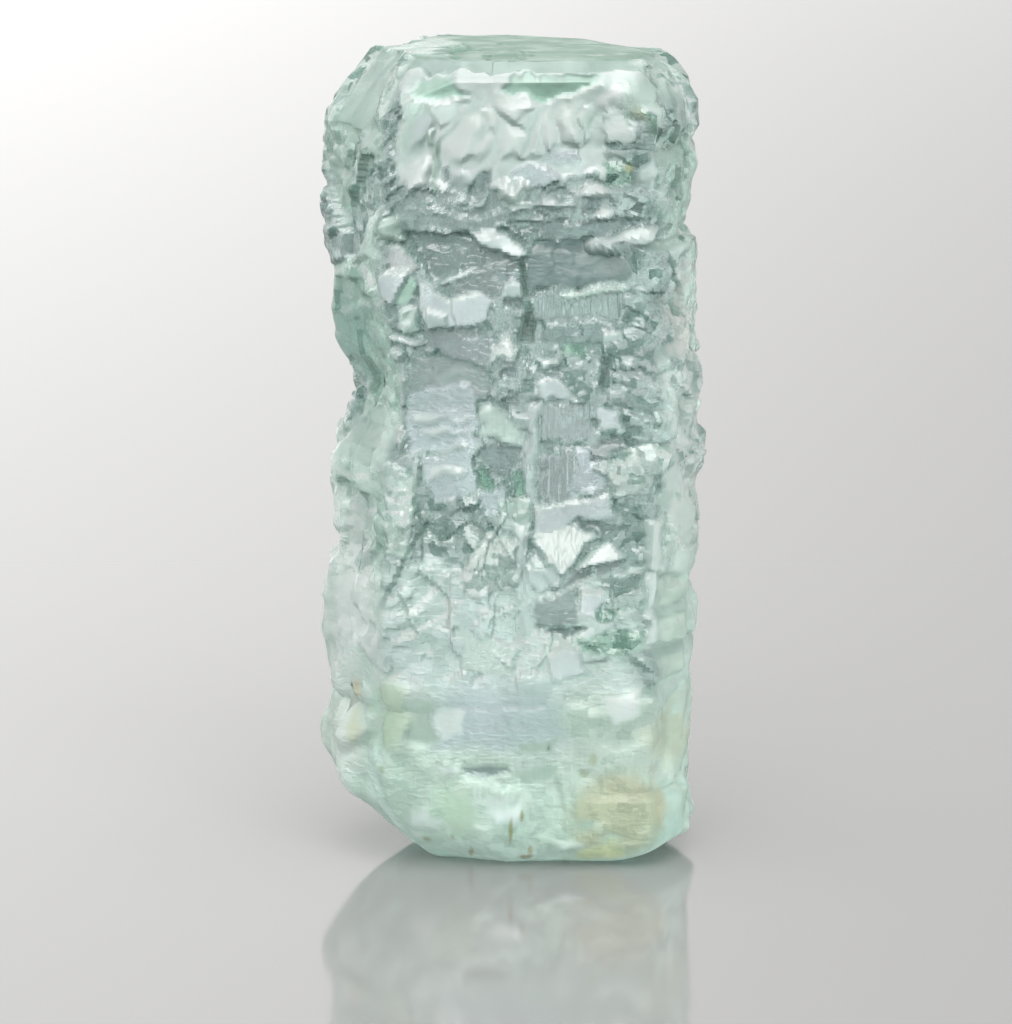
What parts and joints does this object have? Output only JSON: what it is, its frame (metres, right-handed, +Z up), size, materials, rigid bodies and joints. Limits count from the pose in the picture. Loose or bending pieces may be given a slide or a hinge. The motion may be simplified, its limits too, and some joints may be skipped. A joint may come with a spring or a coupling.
{
  "type": "aquamarine crystal",
  "caption": "Pale blue-green aquamarine crystal: a six-sided prism with etched, stepped faces, a flat top and a milky broken foot, standing upright on a flat base.",
  "frame": {"origin": "middle of the bounding box at the flat base", "axes": "+Z up the prism axis, -Y towards the broad front face, +X to that face's right"},
  "size_m": [0.0284, 0.0238, 0.0585],
  "materials": {
    "aquamarine": "clear pale blue-green beryl, etched and frosted on its faces, milky at the foot"
  },
  "bodies": {
    "root": {"aquamarine_crystal": "aquamarine"}
  },
  "joints": []
}
